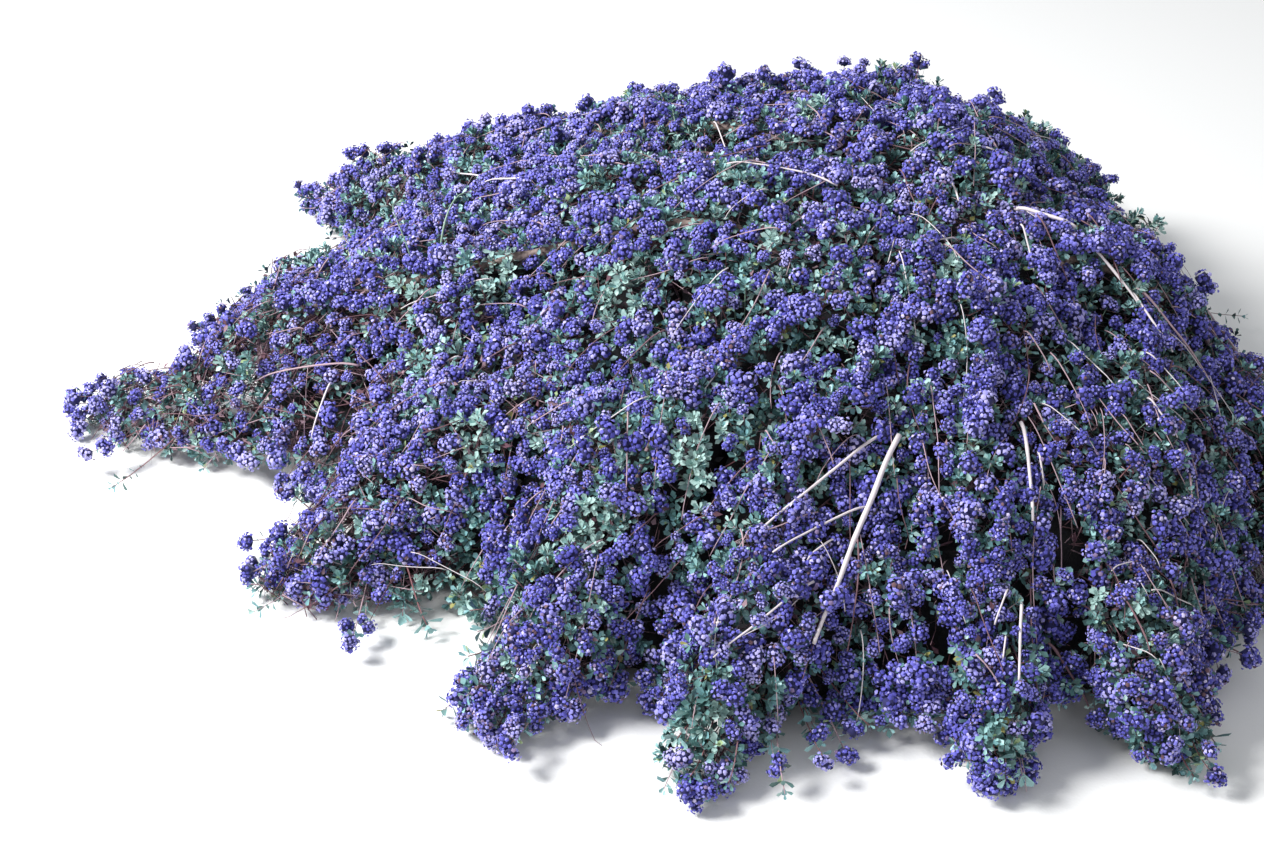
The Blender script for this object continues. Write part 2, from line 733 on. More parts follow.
def bough_lines():
    """(the bough's points, radii, the end of its mass's stem) for every mass."""
    starts = {}
    for tier in set(TIERS.values()):
        rows = [i for i, mass in enumerate(MASSES) if TIERS[mass[1]] == tier]
        aims = [float(azimuth_of(MIDDLES[i])) % 360 for i in rows]
        starts.update(zip(rows, spread_azimuths(aims)))
    lines = []
    for i, (_, kind, middle) in enumerate(MASSES):
        points, anchor = bough_route(kind, starts[i], middle, CORES[i])
        radii = np.linspace(BOUGH_BASE + BOUGH_GROWTH * length_of(points), BOUGH_TIP, len(points))
        lines.append((points, radii, anchor))
    return lines


BOUGHS = bough_lines()


def bough_shape(points, radii):
    """A bough's skin, ringed every 7 mm."""
    length = length_of(points)
    count = max(12, int(length / 0.007))
    route = smooth_route(points, count)
    thick = np.interp(np.linspace(0, 1, count), np.linspace(0, 1, len(radii)), radii)
    # Old leaf scars swell the bough every few centimetres, never evenly.
    along = np.linspace(0, length, count)
    scars = np.cumsum(dice.uniform(0.03, 0.07, int(length / 0.03)))
    for scar in scars:
        thick = thick * (1 + 0.22 * np.exp(-(((along - scar) / 0.0045) ** 2)))
    sway = wobble(route, 0.05, (3.0, 13.0, 23.0)) * 0.003 * np.sin(np.linspace(0, math.pi, count))[:, None]
    shape = limb_shape(route + sway, thick)
    bark_relief(shape, 0.007, float(radii.mean()) * 0.28)
    return shape


limb_piece(
    "boughs",
    [bough_shape(points, radii) for points, radii, _ in BOUGHS],
    BOUGH_BARK,
    [f"bough_{name}" for name, _, _ in MASSES],
)


def burl_shape():
    """The burl: its fluted rings drawn finely, then fissured."""
    mesh = bmesh.new()
    sides, rings = 72, 44
    levels = np.linspace(0, BURL[-1][0], rings)
    widths = np.interp(levels, *zip(*BURL))
    azimuths = np.arange(sides) * 360 / sides
    flutes = FLUTE_DEPTH * np.cos(np.radians(azimuths) * BURL_FLUTES)
    below = None
    for level, width in zip(levels, widths):
        made = bmesh.ops.create_circle(mesh, segments=sides, radius=1)["verts"]
        swell = 1 + flutes * max(0.0, 1 - level / FLUTE_TOP)
        for vertex, point in zip(made, plan(azimuths, width * swell) + BURL_LEAN * level):
            vertex.co = (*point, level)
        edges = list({edge for vertex in made for edge in vertex.link_edges})
        if below:
            bmesh.ops.bridge_loops(mesh, edges=below + edges)
        else:
            mesh.faces.new(made[::-1])
        below = edges
    mesh.faces.new(made)
    bmesh.ops.recalc_face_normals(mesh, faces=mesh.faces)
    bark_relief(mesh, 0.014, 0.004, flat_foot=True)
    return mesh


limb_piece("burl", [burl_shape()], BURL_BARK, ["stem"])


# Shoots dealt out over the mat.


def bareness(points):
    """How thin the mat is, so that its dead twigs show: most low on the left flank, and in patches."""
    left = ramp(points[:, 0], -0.50, -0.25) * ramp(points[:, 1], 0.42, -0.2)
    tail = ramp(points[:, 0], -0.66, -0.25)
    return np.clip(0.60 * left + 0.35 * tail + 1.0 * wave(points, 0.11, 31.0) - 0.10, 0, 1)


# Measures of the mat, in metres, and how many spots the shoots are picked from.
HOLE, HOLE_RADIUS = np.array((0.077, -0.329)), 0.023  # where the mat has parted
SHOOT_SPOTS, LOW_SPOTS, STRAY_SPOTS = 46000, 16000, 1700
SHOOT_SPACING, BARE_SPACING = 0.0176, 0.0045  # the second is added where the mat is bare
BOUGH_SPACING, BOUGH_COVER = 0.012, 0.022  # between a riding bough's side shoots, and their height over it
HEAD_SPACING = 0.0196
HOLLOW_FILL = 0.8  # the share of a hollow that new growth has filled
LOWEST_TIP = 0.012
SHOOT_DEPTH = 0.043  # from a shoot's tip down to the branch that it leaves


def off_hole(points):
    return np.linalg.norm(points[:, :2] - HOLE, axis=1) > HOLE_RADIUS


def ridden_line():
    """Points zigzagging along the boughs that ride near the surface, up to 5 cm under it."""
    steps, aside, deepest = 60, 0.007, 0.05
    lines = []
    for (_, kind, _), (line, _, _) in zip(MASSES, BOUGHS):
        if kind == "over":
            route = smooth_route(line, steps)
            across = unit(np.cross(np.gradient(route, axis=0), np.array((0.0, 0.0, 1.0))))
            across *= np.where(np.arange(steps) % 2, aside, -aside)[:, None]
            lines.append((route + across)[7:-4])
    line = np.concatenate(lines)
    return line[height(line[:, :2]) - line[:, 2] < deepest]


RIDDEN = ridden_line()


def shoot_tips():
    """(surface point, outward normal) of every shoot on the mat."""
    points, normals = dealt(SHOOT_SPOTS)
    # Boughs that ride near the surface carry side shoots of their own, which hide them.
    lift = np.concatenate((RIDDEN[:, 2] + BOUGH_COVER, np.zeros(len(points))))
    points = np.concatenate((np.column_stack((RIDDEN[:, :2], height(RIDDEN[:, :2]))), points))
    normals = np.concatenate((np.tile((0.0, 0.0, 1.0), (len(RIDDEN), 1)), normals))
    spacing = SHOOT_SPACING + BARE_SPACING * bareness(points) + 0.003 * wave(points, 0.05, 11.0)
    spacing[: len(RIDDEN)] = BOUGH_SPACING
    fill = HOLLOW_FILL * hollow(points[:, :2])
    points = points + normals * lumps(points)[:, None]
    points[:, 2] = np.maximum(points[:, 2] + fill, lift)
    clear = np.flatnonzero(off_hole(points))
    kept = clear[thinned(points[clear], spacing[clear])]
    return points[kept], normals[kept]


TIPS, NORMALS = shoot_tips()
TIPS[:, 2] = np.clip(TIPS[:, 2], 0.016, CROWN_HEIGHT + 0.014)
TIP_MASS = mass_of(TIPS[:, :2])

# Patches of fresh grey-green growth, in plan, with their radius.
FRESH = np.array((
    (-0.594, 0.116, 0.040), (-0.435, -0.017, 0.037), (-0.352, -0.249, 0.038), (-0.609, -0.137, 0.040),
    (-0.044, -0.068, 0.030), (-0.469, -0.301, 0.038), (-0.180, 0.300, 0.034), (0.250, 0.450, 0.038),
    (-0.450, 0.620, 0.040), (-0.160, 0.660, 0.038),
))
# Rim patches where larger leaves hide the blossom.
BROAD = np.array((
    (-0.355, -0.490, 0.055), (-0.608, -0.400, 0.040), (-0.007, -0.510, 0.045), (0.210, -0.480, 0.050),
    (-0.245, -0.490, 0.050), (0.500, 0.300, 0.040), (-0.700, 0.840, 0.050), (-0.640, -0.275, 0.130),
))


def within(points, patches):
    """How deep inside the nearest of some plan patches points lie, 0 outside."""
    return np.clip(1 - between(points[:, :2], patches[:, :2]) / patches[None, :, 2], 0, 1).max(axis=1)


fresh, broad = within(TIPS, FRESH), within(TIPS, BROAD)
# Blossom thins out towards the tail on the left, the right flank and the back's right half.
blossom_chance = 1.02 + 0.75 * wave(TIPS, 0.075, 51.0) + 0.25 * wave(TIPS, 0.30, 61.0)
blossom_chance -= np.maximum(2.0 * fresh, 0.8 * broad) + 0.15 * bareness(TIPS)
blossom_chance -= 0.34 * ramp(TIPS[:, 0], -0.66, -0.25) + 0.34 * ramp(TIPS[:, 0], 0.05, 0.2)
blossom_chance -= ramp(TIPS[:, 1], 0.05, 0.2) * (0.05 + 0.25 * ramp(TIPS[:, 0], -0.10, 0.2))
# Heads stand a little apart, and the shoots between them stay leafy.
in_bud = np.flatnonzero(dice.random(len(TIPS)) < blossom_chance)
apart = HEAD_SPACING - 0.0013 * ramp(TIPS[in_bud, 1], -0.20, -0.15)
in_bud = in_bud[thinned(TIPS[in_bud], apart + 0.0040 * wave(TIPS[in_bud], 0.06, 56.0))]
# Along the boughs that ride near the surface they crowd together.
near_bough = between(TIPS[:, :2], RIDDEN[:, :2]).min(axis=1) < BOUGH_SPACING
IS_BLOSSOM = np.isin(np.arange(len(TIPS)), in_bud) | (near_bough & (dice.random(len(TIPS)) < 0.6))


def growth_way(points, normals):
    """The way a shoot's tip points: off the mat, up, and away from the summit."""
    lean = np.column_stack((outward(points) * 0.30, np.full(len(points), 0.45)))
    return unit(normals * 0.8 + lean + dice.normal(0, 0.20, (len(points), 3)))


WAYS = growth_way(TIPS, NORMALS)

# The branches of each mass, from its bough's tip through its core, and the shoots that leave them.
TIPS_PER_BRANCH = 15
BRANCH_STEPS = 12


def farthest(points, count):
    """The rows of points that lie furthest from each other."""
    rows = [int(np.linalg.norm(points - points.mean(axis=0), axis=1).argmin())]
    away = np.linalg.norm(points - points[rows[0]], axis=1)
    while len(rows) < count:
        rows.append(int(away.argmax()))
        away = np.minimum(away, np.linalg.norm(points - points[rows[-1]], axis=1))
    return np.array(rows)


def mixed(numbers, count, **shares):
    """Tones dealt out at random in these shares."""
    return dice.choice([numbers[name] for name in shares], count, p=list(shares.values()))


shoot_roots, shoot_root_ways = np.zeros_like(TIPS), np.zeros_like(TIPS)
for i, (points, _, anchor) in enumerate(BOUGHS):
    rows = np.flatnonzero(TIP_MASS == i)
    feet = TIPS[rows] - NORMALS[rows] * SHOOT_DEPTH
    feet[:, 2] = np.maximum(feet[:, 2], 0.010)
    ends = feet[farthest(feet, max(5, len(rows) // TIPS_PER_BRANCH))]
    tip = points[-1]
    way = unit(tip - points[-2])
    pile = twig_piles[SIDE_OF[i]]
    stalk = bezier(tip - way * 0.002, tip + way * 0.012, (tip + anchor) / 2, anchor, 8)[None]
    tubes(pile, stalk, np.full((1, 8), BOUGH_TIP * 0.92), TWIG_NO["twig_pink"], sides=8)
    span = np.linalg.norm(ends - anchor, axis=1, keepdims=True)
    away = np.column_stack((outward(ends) * 0.9, np.full(len(ends), -0.1)))
    lift = np.array((0, 0, 0.55)) + unit(ends - anchor) * 0.4
    leaves, enters = anchor + lift * span * 0.45, ends - away * span * 0.3
    branches = bezier(np.broadcast_to(anchor, ends.shape), leaves, enters, ends, BRANCH_STEPS)
    sway = np.sin(np.linspace(0, math.pi, BRANCH_STEPS))[None, :, None]
    branches += wobble(branches, 0.04, (5.0, 15.0, 25.0)) * 0.008 * sway
    branches[..., 2] = np.maximum(branches[..., 2], 0.006)
    thick = np.linspace(1, 0.45, BRANCH_STEPS)[None] * dice.uniform(0.0017, 0.0025, (len(ends), 1))
    tones = mixed(TWIG_NO, len(ends), twig_pink=0.5, twig_brown=0.3, twig_pale=0.2)
    tubes(pile, branches, thick, tones, sides=5)
    samples = branches[:, 3:].reshape(-1, 3)
    headings = unit(np.gradient(branches, axis=1))[:, 3:].reshape(-1, 3)
    nearest = between(feet, samples).argmin(axis=1)
    shoot_roots[rows], shoot_root_ways[rows] = samples[nearest], headings[nearest]


# Shoots, and what they carry.
LEAF_LENGTH = 0.0116
UMBEL = 0.0173  # the radius of a head of blossom
LUMPS = 3
FLORETS = 24  # on each lump of a head
# Pairs of leaves down a shoot: (distance from its tip in metres, lean towards the tip in radians, size).
PAIRS_UNDER_HEAD = ((0.010, 0.20, 0.95), (0.015, 0.22, 1.08), (0.021, 0.28, 1.1), (0.030, 0.36, 1.0))
PAIRS_LEAFY = (
    (0.0004, 1.30, 0.55), (0.0014, 1.15, 0.72), (0.0030, 1.03, 0.88), (0.0055, 0.92, 1.0),
    (0.0090, 0.82, 1.08), (0.0135, 0.72, 1.08), (0.019, 0.62, 1.0), (0.026, 0.50, 0.9),
)
PAIRS_BESIDE = ((0.0004, 1.20, 0.55), (0.0020, 0.95, 0.78), (0.0050, 0.75, 0.92), (0.0090, 0.55, 0.95))
PAIRS_LOW = ((0.0006, 1.00, 0.75), (0.0030, 0.70, 0.98), (0.0070, 0.45, 1.05))
PAIRS_SPRIG_HEAD = (
    (0.014, 0.35, 0.9), (0.022, 0.35, 1.0), (0.031, 0.40, 1.0), (0.042, 0.40, 1.0), (0.055, 0.45, 0.9),
    (0.070, 0.45, 0.8),
)
PAIRS_SPRIG_LEAFY = (
    (0.0005, 0.95, 0.6), (0.004, 0.6, 0.9), (0.010, 0.45, 1.05), (0.018, 0.4, 1.1), (0.028, 0.4, 1.0),
    (0.040, 0.45, 0.9), (0.054, 0.45, 0.8),
)
PAIRS_ARCH = ((0.001, 0.9, 0.5), (0.006, 0.8, 0.7), (0.014, 0.8, 0.7), (0.024, 0.8, 0.6), (0.036, 0.8, 0.5))

# How far under the mat each shoot ends. Those along a bough stand higher, and a few of all stand proud.
SINK = np.where(IS_BLOSSOM, dice.uniform(0.004, 0.018, len(TIPS)), dice.uniform(0.005, 0.018, len(TIPS)))
SINK = np.where(near_bough, dice.uniform(-0.002, 0.005, len(TIPS)), SINK)
SINK = np.where(dice.random(len(TIPS)) < 0.08, dice.uniform(-0.013, 0.0, len(TIPS)), SINK) - 0.010 * fresh
ENDS = TIPS - NORMALS * SINK[:, None]
ENDS[:, 2] = np.clip(ENDS[:, 2], 0.014, CROWN_HEIGHT + 0.006)


def shoot_controls(roots, root_ways, ends, ways):
    """The four control points of each shoot's curve, as (4, shoots, 3)."""
    span = np.linalg.norm(ends - roots, axis=1, keepdims=True)
    return np.stack((roots, roots + root_ways * span * 0.30, ends - ways * span * 0.38, ends))


def along_shoot(controls, share):
    """(points, headings) at a share of each shoot's length."""
    a, b, c, d = controls
    t = share[:, None]
    rest = 1 - t
    points = rest**3 * a + 3 * rest**2 * t * b + 3 * rest * t**2 * c + t**3 * d
    return points, unit(rest**2 * (b - a) + 2 * rest * t * (c - b) + t**2 * (d - c))


def painted(tones, numbers, *layers):
    """Lays tones over others: each layer is (name, rows that take it), later ones on top."""
    for name, rows in layers:
        tones[rows] = numbers[name]
    return tones


def leaf_tone(age, freshness, points):
    """A leaf's tone: young at the tip, darker below and on the right, some sprays fresh, grey or yellow."""
    drift = wave(points, 0.09, 71.0)
    spray = dice.random(len(points))
    age = age + (points[:, 0] > 0.05 + 0.25 * spray)
    return painted(
        np.full(len(points), LEAF_NO["leaf_grown"]), LEAF_NO,
        ("leaf_grown_blue", spray < 0.34),
        ("leaf_young", (age <= 2) & (spray + drift > 0.58)),
        ("leaf_fresh_grey", (age <= 1) & (spray - drift > 0.86)),
        ("leaf_old", (age >= 3) & (spray < 0.7)),
        ("leaf_old_shade", (age >= 4) & (spray < 0.5)),
        ("leaf_fresh_lime", spray > 0.975),
        ("leaf_yellowed", (spray > 0.955) & (spray <= 0.963)),
        ("leaf_fresh_grey", (freshness > 0.05) & (dice.random(len(points)) < 0.75)),
    )


NO_SIDE = -1  # for what isn't grown


def grow_leaves(shoots, sides, pairs, freshness=0.0, scale=1.0, full=4, shed=0):
    """Adds opposite pairs of leaves on shoots, each pair a quarter turn from the one above it.

    The pairs from number full on have fewer faces; shed is how much older than a young shoot's they all look.
    """
    count = shoots.shape[1]
    freshness, scale = np.broadcast_to(freshness, count), np.broadcast_to(scale, count)
    span = np.maximum(np.linalg.norm(shoots[3] - shoots[0], axis=1), 0.012) * 1.06
    turn = dice.uniform(0, 2 * math.pi, count)
    for rank, (stand, lean, size) in enumerate(pairs):
        share = 1 - (stand + dice.uniform(-0.001, 0.001, count)) / span
        rows = np.flatnonzero(share > 0.12)
        points, headings = along_shoot(shoots[:, rows], share[rows])
        angle = turn[rows] + rank * math.pi / 2 + dice.normal(0, 0.16, len(rows))
        for flip in (0, math.pi):
            out, _ = basis(headings, angle + flip, (0.31, 0.22, 0.92))
            spread = lean + dice.normal(0, 0.13, len(rows))
            ways = out * np.cos(spread)[:, None] + headings * np.sin(spread)[:, None]
            ways[:, 2] -= 0.08
            lengths = LEAF_LENGTH * size * scale[rows] * dice.uniform(0.82, 1.18, len(rows))
            curls = dice.uniform(-0.12, 0.34, len(rows))
            tones = leaf_tone(rank + shed, freshness[rows], points)
            starts = points + out * 0.0008
            off_floor = starts[:, 2] + unit(ways)[:, 2] * lengths > 0.003
            by_side(
                blades, leaf_piles, np.where(off_floor, sides[rows], NO_SIDE),
                starts, ways, headings, lengths, curls, tones, covered=rank >= full,
            )


# A lump's heart: eight faces that close it behind its florets.
HEART = np.array(((1, 0, 0), (0, 1, 0), (-1, 0, 0), (0, -1, 0), (0, 0, 1), (0, 0, -1.0)))
HEART_FACES = np.array(
    [(side, (side + 1) % 4, 4) for side in range(4)] + [((side + 1) % 4, side, 5) for side in range(4)]
)
# A floret: a low five-sided dome, its petals folded down round its middle.
DOME_RIM = np.arange(5) * 2 * math.pi / 5
DOME = np.vstack(((0, 0, 0.45), np.column_stack((np.cos(DOME_RIM), np.sin(DOME_RIM), np.full(5, -0.32)))))
DOME_FACES = np.array([(0, 1 + petal, 1 + (petal + 1) % 5) for petal in range(5)])
GOLDEN = math.pi * (3 - math.sqrt(5))


def sphere_deal(count, lowest):
    """Unit vectors dealt evenly over a sphere from its top down to a height."""
    level = 1 - (np.arange(count) + 0.5) / count * (1 - lowest)
    turn = np.arange(count) * GOLDEN
    flat = np.sqrt(1 - level**2)
    return np.column_stack((flat * np.cos(turn), flat * np.sin(turn), level))


FLORET_DEAL = sphere_deal(FLORETS, -0.40)


def basis(ways, turns, off=(0.42, 0.88, 0.21)):
    """Two unit vectors square to each way, turned about it; off is a direction that no way follows."""
    first = unit(np.cross(ways, np.array(off)))
    second = np.cross(ways, first)
    c, s = np.cos(turns)[..., None], np.sin(turns)[..., None]
    return first * c + second * s, second * c - first * s


def fade_of(points):
    """How far the blossom has gone over: most on the right and towards the front right."""
    right = ramp(points[:, 0], -0.05, 0.45) * ramp(points[:, 1], -0.05, -0.4)
    return np.clip(0.09 + 0.34 * right + 0.36 * wave(points, 0.12, 81.0), 0, 1)


# The tones that heads mostly have, from deep to pale, with the share of heads that starts from each.
UMBEL_TONES = {
    "petal_deep": 0.24, "petal_blue": 0.32, "petal_violet": 0.26, "petal_light": 0.13, "petal_pale": 0.05,
}
UMBEL_NO = np.array([BLOSSOM_NO[name] for name in UMBEL_TONES])


def petal_tones(centres):
    """A tone for each petal. Whole heads lie near one tone, and lumps, florets and petals stray from it."""
    count = len(centres)
    deeper = 0.8 * ramp(centres[:, 0], -0.05, 0.30)
    tone = dice.choice(len(UMBEL_NO), count, p=list(UMBEL_TONES.values()))
    tone = tone + np.round(1.6 * wave(centres, 0.14, 91.0) - deeper)
    stray = dice.choice((-1, 0, 1), (count, LUMPS, 1), p=(0.25, 0.5, 0.25))
    stray = stray + dice.choice((-1, 0, 1), (count, LUMPS, FLORETS), p=(0.24, 0.52, 0.24))
    tones = UMBEL_NO[np.clip(tone[:, None, None] + stray, 0, len(UMBEL_NO) - 1).astype(int)]
    chance = dice.random(tones.shape)
    fade = fade_of(centres)[:, None, None] * dice.uniform(0.3, 1.3, (count, LUMPS, 1))
    painted(
        tones, BLOSSOM_NO,
        ("petal_bud", chance < 0.06), ("petal_pale", chance > 0.96), ("petal_washed", chance < fade * 0.9),
        ("petal_faded", chance < fade * 0.6), ("petal_dry", chance < fade * 0.25),
    )
    petals = np.repeat(tones.reshape(-1, 1), len(DOME_FACES), axis=1)
    chance = dice.random(petals.shape)
    return painted(
        petals, BLOSSOM_NO,
        ("petal_bud", chance < 0.05), ("petal_light", chance > 0.88), ("petal_pale", chance > 0.98),
    )


def grow_umbels(centres, ways, radii, sides):
    """Adds a head of blossom at each centre: up to three lumps, shaded hearts packed round with florets."""
    count = len(centres)
    x, y = (axis[:, None] for axis in basis(ways, np.zeros(count)))
    turns = dice.uniform(0, 2 * math.pi, (count, 1)) + np.arange(LUMPS) * 2 * math.pi / LUMPS
    turns = (turns + dice.normal(0, 0.35, turns.shape))[..., None]
    out = x * np.cos(turns) + y * np.sin(turns)
    size = radii[:, None] * dice.uniform(0.48, 0.66, (count, LUMPS))
    aside = dice.uniform(0.20, 0.48, (count, LUMPS, 1))
    above = dice.uniform(-0.42, 0.36, (count, LUMPS, 1))
    middles = centres[:, None] + radii[:, None, None] * (out * aside + ways[:, None] * above)
    middles[..., 2] = np.maximum(middles[..., 2], size * 1.15)
    axes = unit(ways[:, None] + out * 0.6)
    first, second = basis(axes, dice.uniform(0, 2 * math.pi, (count, LUMPS)))
    frames = np.stack((first, second, axes), axis=2)
    deal = unit(FLORET_DEAL + dice.normal(0, 0.10, (count, LUMPS, FLORETS, 3)))
    facing = np.einsum("nlkc,nlcd->nlkd", deal, frames)
    reached = dice.uniform(0.86, 1.16, (count, LUMPS, FLORETS, 1))
    spots = middles[:, :, None] + size[..., None, None] * facing * reached
    facing = unit(facing + dice.normal(0, 0.20, facing.shape))
    fx, fy = (axis[:, :, :, None] for axis in basis(facing, dice.uniform(0, 2 * math.pi, facing.shape[:3])))
    wide = (size[..., None] * dice.uniform(0.20, 0.315, facing.shape[:3]))[..., None, None]
    florets = spots[:, :, :, None] + wide * (
        DOME[:, 0, None] * fx + DOME[:, 1, None] * fy + DOME[:, 2, None] * facing[:, :, :, None]
    )
    # Florets that would lie inside another lump, or under the head, are left out.
    away = np.linalg.norm(spots[:, :, :, None] - middles[:, None, None], axis=-1) / size[:, None, None]
    away[:, np.arange(LUMPS), :, np.arange(LUMPS)] = 9
    grown = dice.random((count, LUMPS)) < np.array((1.0, 0.92, 0.75))
    away = np.where(grown[:, None, None], away, 9)
    outer = np.einsum("nlkd,nd->nlk", facing, ways) > -0.30
    free = (away.min(axis=-1) > 0.80) & outer & grown[..., None]
    petals, shade = petal_tones(centres), np.full(count * LUMPS, BLOSSOM_NO["petal_heart_shade"])
    hearts = middles[:, :, None] + size[..., None, None] * 0.93 * np.einsum("kc,nlcd->nlkd", HEART, frames)
    hearts, florets = hearts.reshape(-1, len(HEART), 3), florets.reshape(-1, len(DOME), 3)
    lump_sides = np.where(grown, sides[:, None], NO_SIDE).reshape(-1)
    floret_sides = np.where(free, sides[:, None, None], NO_SIDE).reshape(-1)
    by_side(Pile.add, blossom_piles, lump_sides, hearts, shade, faces=HEART_FACES)
    by_side(Pile.add, blossom_piles, floret_sides, florets, petals, faces=DOME_FACES)


def grow_twigs(shoots, sides, tones, base, tip, steps):
    """Adds each shoot's own twig, from a base to a tip radius."""
    routes = bezier(*shoots, steps)
    thick = np.linspace(base, tip, steps)[None] * dice.uniform(0.8, 1.2, (len(routes), 1))
    by_side(tubes, twig_piles, sides, routes, thick, tones)


SHOOTS = shoot_controls(shoot_roots, shoot_root_ways, ENDS, WAYS)
TIP_SIDE = SIDE_OF[TIP_MASS]
shoot_tones = mixed(TWIG_NO, len(TIPS), shoot_green=0.4, shoot_red=0.35, twig_pink=0.25)
grow_twigs(SHOOTS, TIP_SIDE, shoot_tones, base=0.0011, tip=0.0006, steps=4)

LEAF_SCALE = 1 + 0.40 * broad + 0.10 * fresh
umbel_rows, leaf_rows = np.flatnonzero(IS_BLOSSOM), np.flatnonzero(~IS_BLOSSOM)
# Single tufts of new growth stand all about the mat.
freshness = np.where(dice.random(len(TIPS)) < 0.17, 0.3, fresh)
for rows, pairs, newness, full in (
    (umbel_rows, PAIRS_UNDER_HEAD, fresh, 2),
    (leaf_rows, PAIRS_LEAFY, freshness, 4),
):
    grow_leaves(SHOOTS[:, rows], TIP_SIDE[rows], pairs, newness[rows], LEAF_SCALE[rows], full)
# Most leafy shoots have shorter ones beside them, and together they make a tuft.
for share in (0.9, 0.5):
    some = leaf_rows[dice.random(len(leaf_rows)) < share + fresh[leaf_rows]]
    aside = unit(np.cross(WAYS[some], dice.normal(0, 1, (len(some), 3))))
    ends = ENDS[some] + aside * dice.uniform(0.007, 0.011, (len(some), 1)) - WAYS[some] * 0.005
    ends[:, 2] = np.maximum(ends[:, 2], LOWEST_TIP)
    roots = ends - WAYS[some] * 0.020 - aside * 0.008
    tuft = shoot_controls(roots, WAYS[some], ends, unit(WAYS[some] + aside * 0.5))
    grow_leaves(tuft, TIP_SIDE[some], PAIRS_BESIDE, freshness[some], LEAF_SCALE[some], full=2)
# Older leafy shoots stand lower, and fill the gaps between heads and tufts with darker green.
low, low_normals = dealt(LOW_SPOTS)
low = low + low_normals * lumps(low)[:, None]
low[:, 2] += HOLLOW_FILL * hollow(low[:, :2])
clear = np.flatnonzero(off_hole(low))
kept = clear[thinned(low[clear], 0.021 + 0.008 * bareness(low[clear]))]
low, low_normals = low[kept], low_normals[kept]
low_ways = growth_way(low, low_normals)
low = low - low_normals * dice.uniform(0.011, 0.022, (len(low), 1))
low[:, 2] = np.maximum(low[:, 2], LOWEST_TIP)
low_shoots = shoot_controls(low - low_ways * 0.026, low_ways, low, low_ways)
grow_leaves(low_shoots, SIDE_OF[mass_of(low[:, :2])], PAIRS_LOW, full=1, shed=2)

umbel_radii = UMBEL * dice.uniform(0.74, 1.12, len(umbel_rows))
umbel_radii = umbel_radii * np.where(dice.random(len(umbel_rows)) < 0.15, 0.72, 1.0)
grow_umbels(ENDS[umbel_rows], WAYS[umbel_rows], umbel_radii, TIP_SIDE[umbel_rows])


# Sprigs that pass the rim: the furthest end of each, in plan, and whether it carries blossom.
FAR_SPRIGS = (
    (-1.217, 0.169, True), (-1.164, 0.061, True), (-1.113, -0.014, False), (-0.997, 0.022, False),
    (-0.914, -0.124, True), (-0.884, -0.184, True), (-0.877, -0.274, False), (-0.756, -0.317, True),
    (-0.615, -0.399, False), (-0.555, -0.494, True), (-0.585, -0.455, True), (-0.357, -0.554, True),
    (-0.256, -0.568, False), (-0.208, -0.517, True), (-0.016, -0.550, False), (0.216, -0.513, False),
    (0.268, -0.366, True), (0.523, 0.427, False),
)


def rim_sprigs():
    """(root, end) of every sprig: the far ones, and shorter ones all round the rim."""
    ends = [np.array((x, y, dice.uniform(0.028, 0.045))) for x, y, _ in FAR_SPRIGS]
    lengths = [0.20] * len(FAR_SPRIGS)
    azimuth = 0.0
    while azimuth < 360:
        rim = float(rim_at(azimuth))
        spare = dice.uniform(-0.012, 0.032)
        ends.append(np.array((*plan(azimuth, rim + spare), dice.uniform(0.016, 0.060))))
        lengths.append(float(dice.uniform(0.07, 0.13)))
        azimuth += float(dice.uniform(0.7, 1.3)) * math.degrees(0.024 / rim)
    ends, lengths = np.array(ends), np.array(lengths)
    flat = ends[:, :2]
    middles = MIDDLES[mass_of(flat)]
    inward = unit(middles - flat)
    lengths = np.minimum(lengths, np.linalg.norm(middles - flat, axis=1))
    roots = flat + inward * lengths[:, None]
    levels = np.clip(height(roots) - 0.035, LOWEST_TIP, 0.07)
    return np.column_stack((roots, levels)), ends


sprig_roots, sprig_ends = rim_sprigs()
sprig_sides = SIDE_OF[mass_of(sprig_ends[:, :2])]
sprig_ways = unit(sprig_ends - sprig_roots) + np.array((0, 0, 0.25)) + dice.normal(0, 0.15, sprig_ends.shape)
sprig_ways = unit(sprig_ways)
sprig_root_ways = unit(sprig_ends - sprig_roots + np.array((0, 0, 0.02)))
SPRIGS = shoot_controls(sprig_roots, sprig_root_ways, sprig_ends, sprig_ways)
sprig_tones = [TWIG_NO[name] for name in ("twig_pink", "shoot_red", "twig_brown")]
sprig_tones = dice.choice(sprig_tones, len(sprig_ends))
grow_twigs(SPRIGS, sprig_sides, sprig_tones, base=0.0013, tip=0.0007, steps=8)
sprig_broad = within(sprig_ends, BROAD)
sprig_blossom = dice.random(len(sprig_ends)) < 0.62 - 0.9 * sprig_broad
sprig_blossom[: len(FAR_SPRIGS)] = [blossom for _, _, blossom in FAR_SPRIGS]
sprig_scale = 1.0 + 0.6 * np.minimum(1, sprig_broad * 3)
for blossom, pairs in ((True, PAIRS_SPRIG_HEAD), (False, PAIRS_SPRIG_LEAFY)):
    rows = np.flatnonzero(sprig_blossom == blossom)
    grow_leaves(SPRIGS[:, rows], sprig_sides[rows], pairs, scale=sprig_scale[rows])
rows = np.flatnonzero(sprig_blossom)
grow_umbels(sprig_ends[rows], sprig_ways[rows], UMBEL * dice.uniform(0.8, 1.08, len(rows)), sprig_sides[rows])
